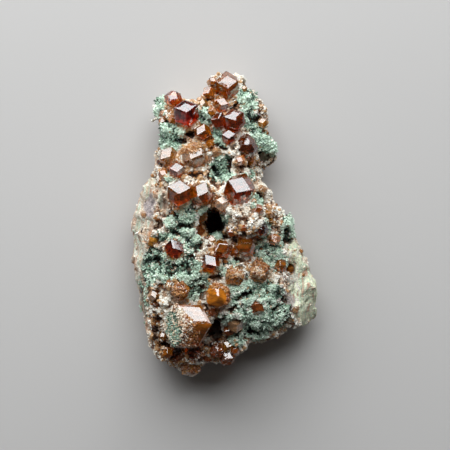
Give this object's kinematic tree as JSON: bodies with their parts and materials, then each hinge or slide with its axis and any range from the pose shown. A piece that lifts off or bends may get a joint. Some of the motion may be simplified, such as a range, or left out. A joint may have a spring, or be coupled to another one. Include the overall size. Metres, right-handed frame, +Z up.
{
  "type": "grossular and diopside specimen",
  "caption": "Broken lump of green and cream rock lying on its flat back, with faceted orange-brown to deep red crystals set in pockets of its upper face.",
  "frame": {"origin": "centre of the footprint of the whole specimen, on the surface that it lies on", "axes": "+Y along the specimen towards its narrow end, +Z up out of the crystal-bearing face, +X to the right when the narrow end points away"},
  "size_m": [0.0468, 0.0764, 0.0261],
  "materials": {
    "rock": "matte",
    "diopside": "satin",
    "garnet": "gloss"
  },
  "bodies": {
    "root": {"matrix_rock": "rock", "garnet_crown": "garnet", "garnet_brown_crest": "garnet", "garnet_great_red": "garnet", "garnet_streaked": "garnet", "garnet_upper_middle": "garnet", "garnet_double_face": "garnet", "garnet_right_red": "garnet", "garnet_left_square": "garnet", "garnet_left_rhomb": "garnet", "garnet_frosted_crown": "garnet", "garnet_pair_left": "garnet", "garnet_hollow_upper": "garnet", "garnet_hollow_lower": "garnet", "garnet_ring": "garnet", "garnet_pale_face": "garnet", "garnet_blade": "garnet", "garnet_bar_top": "garnet", "garnet_bar_partner": "garnet", "garnet_right_small": "garnet", "garnet_right_long": "garnet", "garnet_rosette": "garnet", "garnet_kite": "garnet", "garnet_ruby": "garnet", "garnet_etched_pair": "garnet", "garnet_round_brown": "garnet", "garnet_amber_block": "garnet", "garnet_lower_brown": "garnet", "garnet_great_block": "garnet", "garnet_hole_rim": "garnet", "garnet_lower_edge": "garnet", "garnet_smoky_tip": "garnet"}
  },
  "joints": []
}
